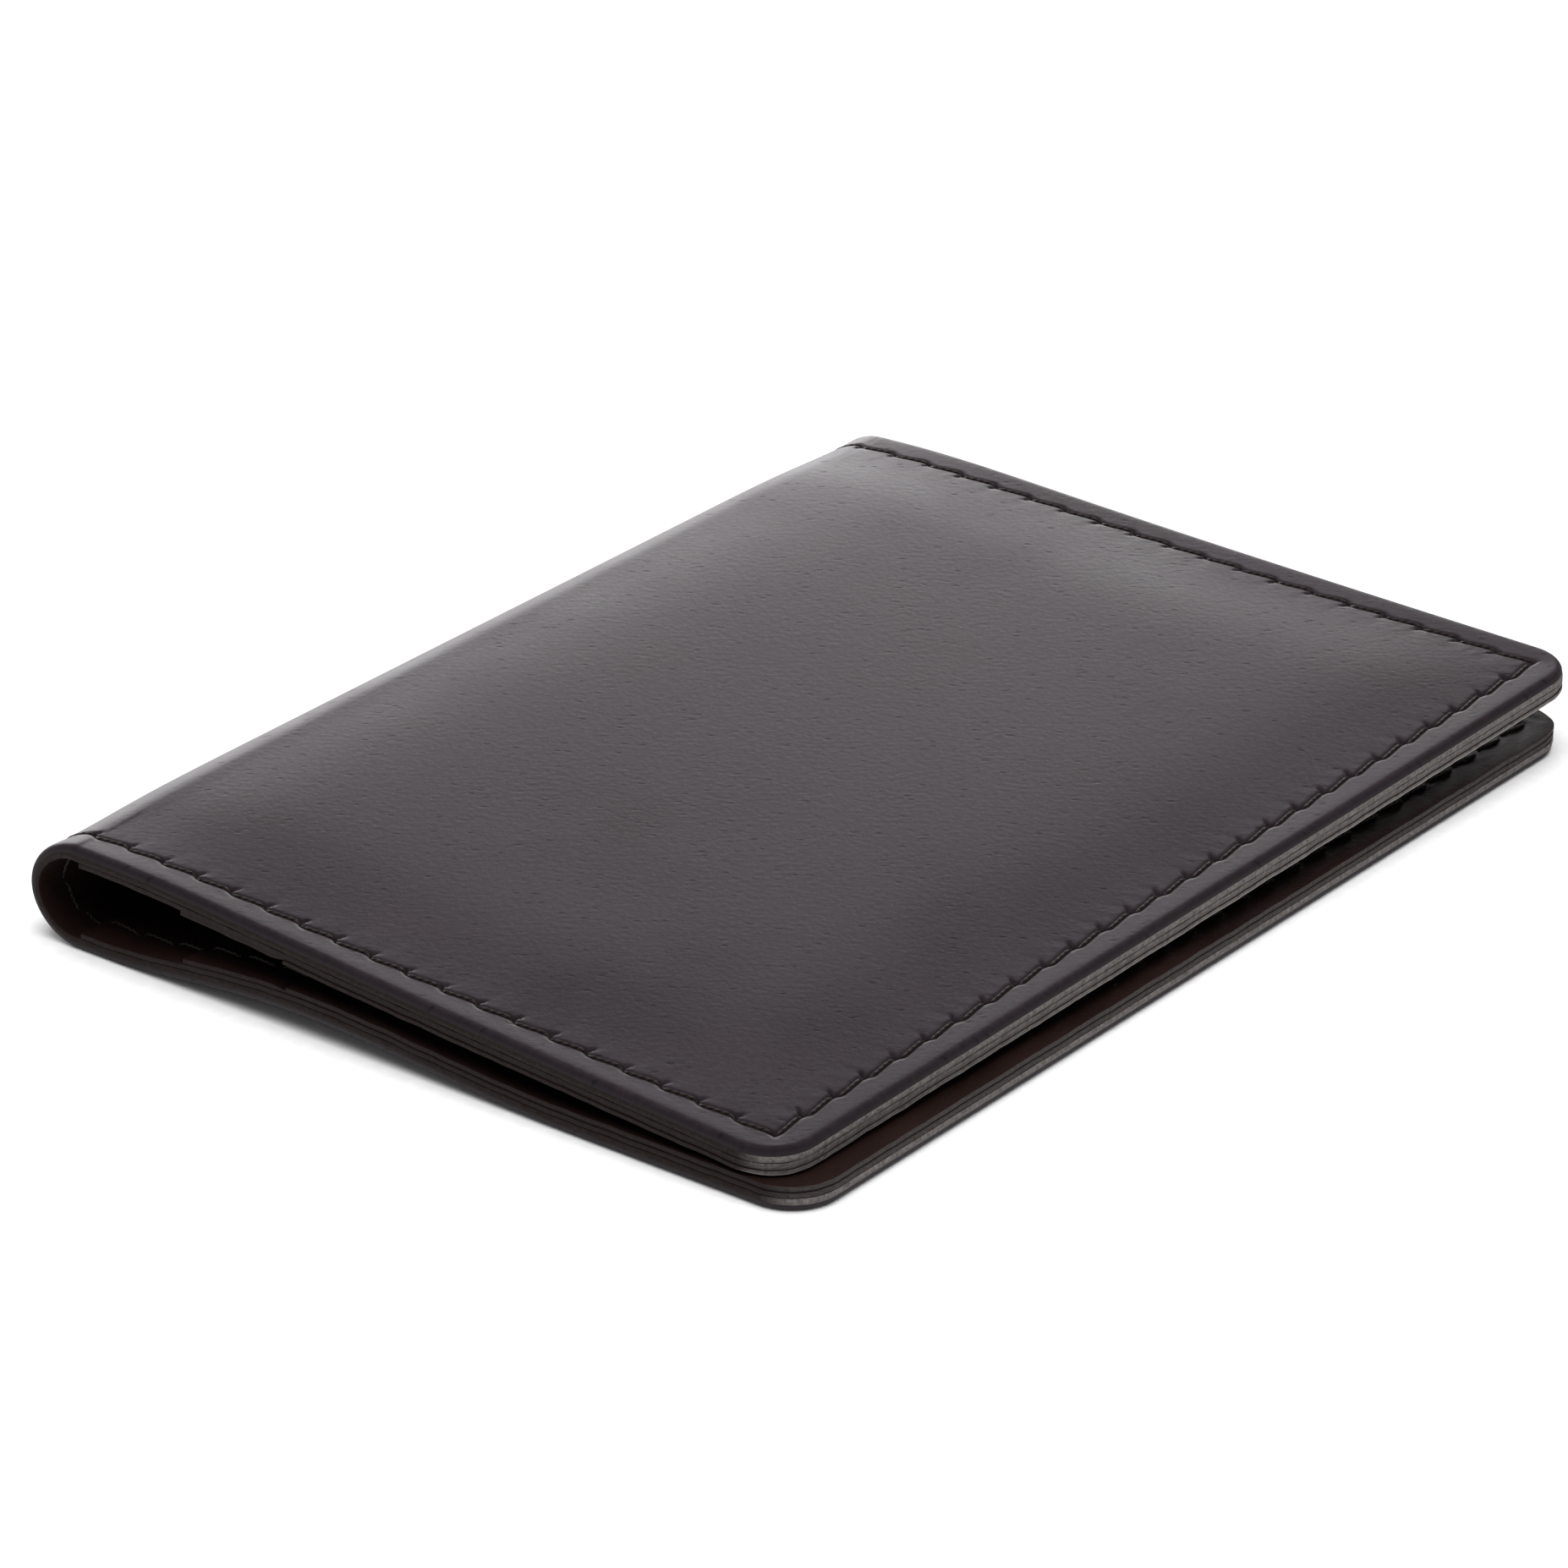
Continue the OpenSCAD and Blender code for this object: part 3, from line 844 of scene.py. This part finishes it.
def layer(name, front, u0, inset, low, thick, node, bump, lip=0):
    """Thin leather of one half from u0 to the free edge, with its depth given by
    low(u, v) and low + thick, and its edges rounded as a fourth-power oval.
    bump(u, v) is the rise of its inner face, and lip how pale its cut edge is."""
    length = (LEN_FRONT if front else LEN_BACK) - inset
    half = HALF_L - inset
    vs = corner_lines(half)
    bow = np.maximum(np.abs(vs) - (half - CORNER_R), 0)
    end = length - CORNER_R + np.sqrt(np.maximum(CORNER_R ** 2 - bow ** 2, 0))
    share = edge_lines(0, length - u0, LAYER_STEP) / (length - u0)
    u = u0 + share[:, None] * (end - u0)[None, :]
    v = np.broadcast_to(vs, u.shape)
    d, ns, _ = edge_distance(u, v, u0, length, half, SQUARE, CORNER_R)
    full = (1 - (1 - np.clip(d / EDGE_ROUND, 0, 1)) ** 4) ** 0.25
    full[0], full[-1], full[:, 0], full[:, -1] = 0, 0, 0, 0
    base, t = low(u, v), thick(u, v)
    wave = EDGE_WANDER * drift(u + 7 * front, v, EDGE_WAVE, 21) * (1 - smooth(d / EDGE_BAND))
    shift = np.sign(v) * wave
    lower = base + t / 2 * (1 - full)
    upper = base + t - t / 2 * (1 - full) + bump(u, v) * smooth(d / RELIEF_FROM)
    s = to_sheet(front, u + wave)
    index = np.arange(u.size).reshape(u.shape)
    top = index + u.size
    top[0], top[-1], top[:, 0], top[:, -1] = index[0], index[-1], index[:, 0], index[:, -1]
    pts = np.concatenate([place(s, v + shift, depth).reshape(-1, 3)
                          for depth in (lower, upper)])
    faces = np.concatenate([grid_faces(index), grid_faces(top)[:, ::-1]])
    if not front:
        faces = faces[:, ::-1]
    flat = np.stack([s.ravel(), v.ravel()], -1) / MM
    cut = np.tile(d.ravel(), 2)[faces].max(axis=1) < CUT_FACE
    # Painted shade: the back's cut edges are scaled towards the dark tone
    dry_with_shade = smooth(np.abs(ns) * DRY_GAIN) * (u > u0 + DRY_FROM)
    dry_with_shade = (dry_with_shade * (DRY_FRONT if front else DRY_BACK_SHADED)).ravel()
    obj = make_piece(name, pts, [(faces[~cut], 0), (faces[cut], 1)],
                     np.concatenate([flat, flat + 0.5]), [lining_leather, cut_edge],
                     values={"dry_with_shade": np.tile(dry_with_shade, 2),
                             "pale": np.concatenate([0 * dry_with_shade, dry_with_shade * lip])})
    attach(obj, "front" if front else "back")
    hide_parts(node)


def pocket(u, v, front):
    """Share of the way up over the first slot: 0 on the sewn band, 1 in the middle."""
    length = LEN_FRONT if front else LEN_BACK
    room = np.minimum(HALF_L - np.abs(v), length - u) - SEAM_BAND
    return smooth(room / (1.6 * MM) + 0.2)


def far_corner(v):
    """From 0.15 to 1 towards the far end, where the inner leather is gathered."""
    return 0.15 + 0.85 * smooth((v + 0.2 * HALF_L) / (0.9 * HALF_L))


# The inner face's share of the sewing's relief. Its small folds: height in mm, how
# far they slant in a stitch, where they are strongest and half their width, and
# how much they wander. Then its own unevenness.
INNER_SHARE = 0.6
WRINKLE, WRINKLE_SLANT = 0.2, 3.0 * MM
WRINKLE_AT, WRINKLE_WIDTH = 1.6 * MM, 2.6 * MM
WANDER, WANDER_WAVE = 1.8, 6 * MM
UNEVEN, UNEVEN_WAVE = 0.04 * MM, 9 * MM
CREASE, CREASE_IN, CREASE_WIDTH = 0.07 * MM, 1.3 * MM, 0.22 * MM


def sewn(u, v, front):
    """Rise of an inner face at the stitches, and the small folds beside them: sine
    waves, one a stitch, that slant away from the row and wander."""
    s = to_sheet(front, u)
    out, along, _, way = row_place(s, v)
    wander = WANDER * drift(s, v, WANDER_WAVE, 33)
    lines = np.sin(2 * np.pi * (along - way * out / WRINKLE_SLANT) + wander)
    wrinkles = WRINKLE * lines * np.exp(-((out + WRINKLE_AT) / WRINKLE_WIDTH) ** 2)
    uneven = UNEVEN * drift(s, v, UNEVEN_WAVE, 31)
    return INNER_SHARE * relief(s, v, 0) + wrinkles * MM * far_corner(v) + uneven


def mouth(u, edge):
    """Creased line a little inside a slot's edge: a bell curve across it."""
    return -CREASE * np.exp(-(((u - edge - CREASE_IN) / CREASE_WIDTH) ** 2))


# The first slot thins to UNDER under the second, over the length TAPER, and the
# layers are laid GAP apart, so that they don't touch
GAP = 0.01 * MM
UNDER = 0.2 * MM
TAPER = 1.2 * MM
SECOND_LOW = 0.22 * MM
SECOND_THINNER = 0.1 * MM
SHELF = COVER_T + LINING_T
for front in (False, True):
    half = "front" if front else "back"
    layer(f"{half}_lining_leather", front, LINING_U, -0.02 * MM,
          lambda u, v: COVER_T + GAP + 0 * u, lambda u, v: LINING_T - GAP + 0 * u,
          f"{half}_lining", lambda u, v: sewn(u, v, front) * (u < SLOT1_U))
    layer(f"{half}_slot_leather_1", front, SLOT1_U, 0.06 * MM,
          lambda u, v: SHELF + GAP + 0 * u,
          lambda u, v: SLOT_T - (SLOT_T - UNDER) * smooth((u - SLOT2_U + TAPER) / TAPER),
          f"{half}_slot_1",
          lambda u, v: (sewn(u, v, front) + mouth(u, SLOT1_U)) * (u < SLOT2_U - TAPER))
    layer(f"{half}_slot_leather_2", front, SLOT2_U, -0.04 * MM,
          lambda u, v: SHELF + SECOND_LOW + (SLOT_LIFT - SECOND_LOW) * pocket(u, v, front),
          lambda u, v: SLOT_T - SECOND_THINNER + 0 * u,
          f"{half}_slot_2", lambda u, v: sewn(u, v, front) + mouth(u, SLOT2_U),
          lip=int(front))

# --------------------------------------------------------------------- thread
SIDES = 8
STEP_UP = 0.5 * MM
# The thread's middle over the inner face and under the outer one, how far it
# dives at a hole, and the width of its map all the way round
INNER_OVER, INNER_DIVE = 0.13 * MM, 0.75 * MM
OUTER_UNDER, OUTER_DIVE = 0.15 * MM, 0.6 * MM
AROUND = 1.57


def inner_face(s):
    """Depth of the innermost face at the stitches: it steps up at each edge of
    the lining and slots."""
    u = np.where(s < (S_BACK + S_FRONT) / 2, LEN_BACK - s, HALF_STRIP + s - S_FRONT)
    u = np.where((s > S_BACK) & (s < S_FRONT), 0, u)
    rise = LINING_T * smooth((u - LINING_U) / STEP_UP + 0.5)
    rise += (SLOT_T - SECOND_THINNER) * smooth((u - SLOT1_U) / STEP_UP + 0.5)
    rise += SECOND_THINNER * smooth((u - SLOT2_U) / STEP_UP + 0.5)
    return COVER_T + rise


def thread_tube(s, v, across_v, along, inner, lean):
    """Round thread whose middle follows the row: nearly level over each stitch,
    then down into the hole (an eighth power), and set a little aslant."""
    _, down = dive(along)
    aside = aslant(along, 1) * lean
    if inner:
        depth = inner_face(s) + INNER_OVER - INNER_DIVE * down
    else:
        depth = OUTER_UNDER + OUTER_DIVE * down
    turn = np.linspace(0, 2 * np.pi, SIDES + 1)[:-1]
    side_off = aside[:, None] + THREAD_R * np.cos(turn)
    down_off = depth[:, None] + THREAD_R * np.sin(turn) * (-1 if inner else 1)
    ss = s[:, None] + side_off * (not across_v)
    vv = v[:, None] + side_off * across_v
    pts = place(ss, vv, down_off).reshape(-1, 3)
    index = np.arange(len(s) * SIDES).reshape(len(s), SIDES)
    ring = np.concatenate([index, index[:, :1]], axis=1)
    length = np.broadcast_to(along[:, None] * PITCH / MM, ss.shape)
    round_uv = np.broadcast_to(turn / FULL_TURN * AROUND, ss.shape)
    uv = np.stack([length, round_uv], -1).reshape(-1, 2)
    return pts, grid_faces(ring), index[0], index[-1], uv


def turned_out(pts, faces, caps):
    """The same faces, turned round if the closed tube's volume comes out negative."""
    tri = np.concatenate([faces[:, [0, 1, 2]], faces[:, [0, 2, 3]]])
    a, b, c = (pts[tri[:, i]] for i in range(3))
    if np.einsum("ij,ij->i", a - pts[0], np.cross(b - pts[0], c - pts[0])).sum() < 0:
        return faces[:, ::-1], [cap[::-1] for cap in caps]
    return faces, caps


def thread_piece(name, runs, k, node):
    """One object from several tubes, closed at their ends."""
    pts, quads, caps, uvs, base = [], [], [], [], 0
    for run in runs:
        p, q, first, last, t = thread_tube(*run)
        q, ends = turned_out(p, q, [first, last[::-1]])
        pts.append(p)
        quads.append(q + base)
        caps += [end + base for end in ends]
        uvs.append(t)
        base += len(p)
    groups = [(np.concatenate(quads), 0), (np.array(caps), 0)]
    obj = make_piece(name, np.concatenate(pts), groups, np.concatenate(uvs), [thread])
    hold(obj, k)
    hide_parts(node)


PER_STITCH = 12
long_s = np.unique(np.concatenate([np.linspace(ROW_S[0], ROW_S[1], N_LONG * PER_STITCH + 1),
                                   SEAMS]))
cross_v = np.linspace(-ROW_V, ROW_V, N_CROSS * PER_STITCH + 1)
bounds_s = np.concatenate([[-1], SEAMS, [9]])


def long_run(k, end, inner):
    """The part of a long row that lies on piece k of the chain, as the near row
    for end -1 and the far one for 1."""
    s = long_s[(long_s >= bounds_s[k] - 1e-9) & (long_s <= bounds_s[k + 1] + 1e-9)]
    return s, np.full_like(s, end * ROW_V), True, (s - ROW_S[0]) / PITCH_LONG, inner, -1


for inner, word in ((False, "outer"), (True, "inner")):
    for k, half, free in ((0, "back", ROW_S[0]), (PIECES - 1, "front", ROW_S[1])):
        runs = [long_run(k, end, inner) for end in (-1, 1)]
        runs.append((np.full_like(cross_v, free), cross_v, False,
                     (cross_v + ROW_V) / PITCH_CROSS, inner, 1))
        thread_piece(f"{half}_{word}_thread", runs, k, f"{half}_{word}_stitching")
for k in range(1, TURNS + 1):
    runs = [long_run(k, end, inner) for end in (-1, 1) for inner in (False, True)]
    thread_piece(f"fold_thread_{k}", runs, k, f"fold_stitching_{min(k, TURNS - 1)}")

# ------------------------------------------------------------ floor and light
# Matt paper sweep, with a faint fibre about 1 mm across
FLOOR_HALF = 2.5
FLOOR_DROP = 0.00005
FLOOR_LINES = 9
floor_material, tree, surface = new_material("matt_white_paper", Roughness=0.9)
paper = add(tree, "ShaderNodeTexCoord").outputs["Object"]
fibres = add(tree, "ShaderNodeTexNoise", {"Vector": paper, "Scale": 900.0, "Detail": 2})
tree.links.new(ramp(tree, fibres.outputs["Fac"], [(0.3, "#f6f6f6"), (0.7, "#fcfcfc")]),
               surface.inputs["Base Color"])
reach = np.linspace(-FLOOR_HALF, FLOOR_HALF, FLOOR_LINES)
fx, fy = np.meshgrid(reach, reach, indexing="ij")
fz = np.full(fx.shape, cad_box[0].z - FLOOR_DROP)
floor = make_piece("floor", np.stack([fx, fy, fz], -1).reshape(-1, 3),
                   [(grid_faces(np.arange(fx.size).reshape(fx.shape)), 0)],
                   np.stack([fx, fy], -1).reshape(-1, 2), [floor_material])

WORLD_STRENGTH = 0.26
world = bpy.data.worlds.new("studio")
bpy.context.scene.world = world
world.use_nodes = True
sky = world.node_tree.nodes["Background"].inputs
sky["Color"].default_value = (1, 1, 1, 1)
sky["Strength"].default_value = WORLD_STRENGTH


def softbox(name, location, target, size, watts, glossy=True):
    """Rectangular area light at a place, turned to its target, itself out of sight."""
    light = bpy.data.lights.new(name, "AREA")
    light.shape, light.size, light.size_y, light.energy = "RECTANGLE", size[0], size[1], watts
    obj = bpy.data.objects.new(name, light)
    obj.location = location
    obj.rotation_euler = (Vector(target) - Vector(location)).to_track_quat("-Z", "Y").to_euler()
    obj.visible_camera = False
    obj.visible_glossy = glossy
    bpy.context.scene.collection.objects.link(obj)


# A low strip behind the fold gives the sheen, and a wide one above the even light
softbox("back_softbox", (-0.25, 0.19, 0.066), (-0.03, 0.03, 0.0), (0.38, 0.11), 0.48)
softbox("top_softbox", (0.1, -0.1, 0.9), (0, 0, 0), (0.9, 0.9), 12.0, glossy=False)

# --------------------------------------------------------------------- camera
CAMERA_AT = Vector((352.15, -455.99, 280.69)) * MM
LENS, SENSOR = 174.2, 36
camera = bpy.data.cameras.new("camera")
camera.lens, camera.sensor_width = LENS, SENSOR
camera.clip_start, camera.clip_end = 0.01, 20
camera_object = bpy.data.objects.new("camera", camera)
forward = Vector((-0.5556, 0.7106, -0.4318)).normalized()
right = Vector((0.7878, 0.6160, 0)).normalized()
upward = right.cross(forward)
turn = Matrix((right, upward, -forward)).transposed()
camera_object.matrix_world = Matrix.Translation(CAMERA_AT) @ turn.to_4x4()
bpy.context.scene.collection.objects.link(camera_object)
bpy.context.scene.camera = camera_object
bpy.context.scene.view_settings.view_transform = "Standard"

bpy.context.view_layer.update()
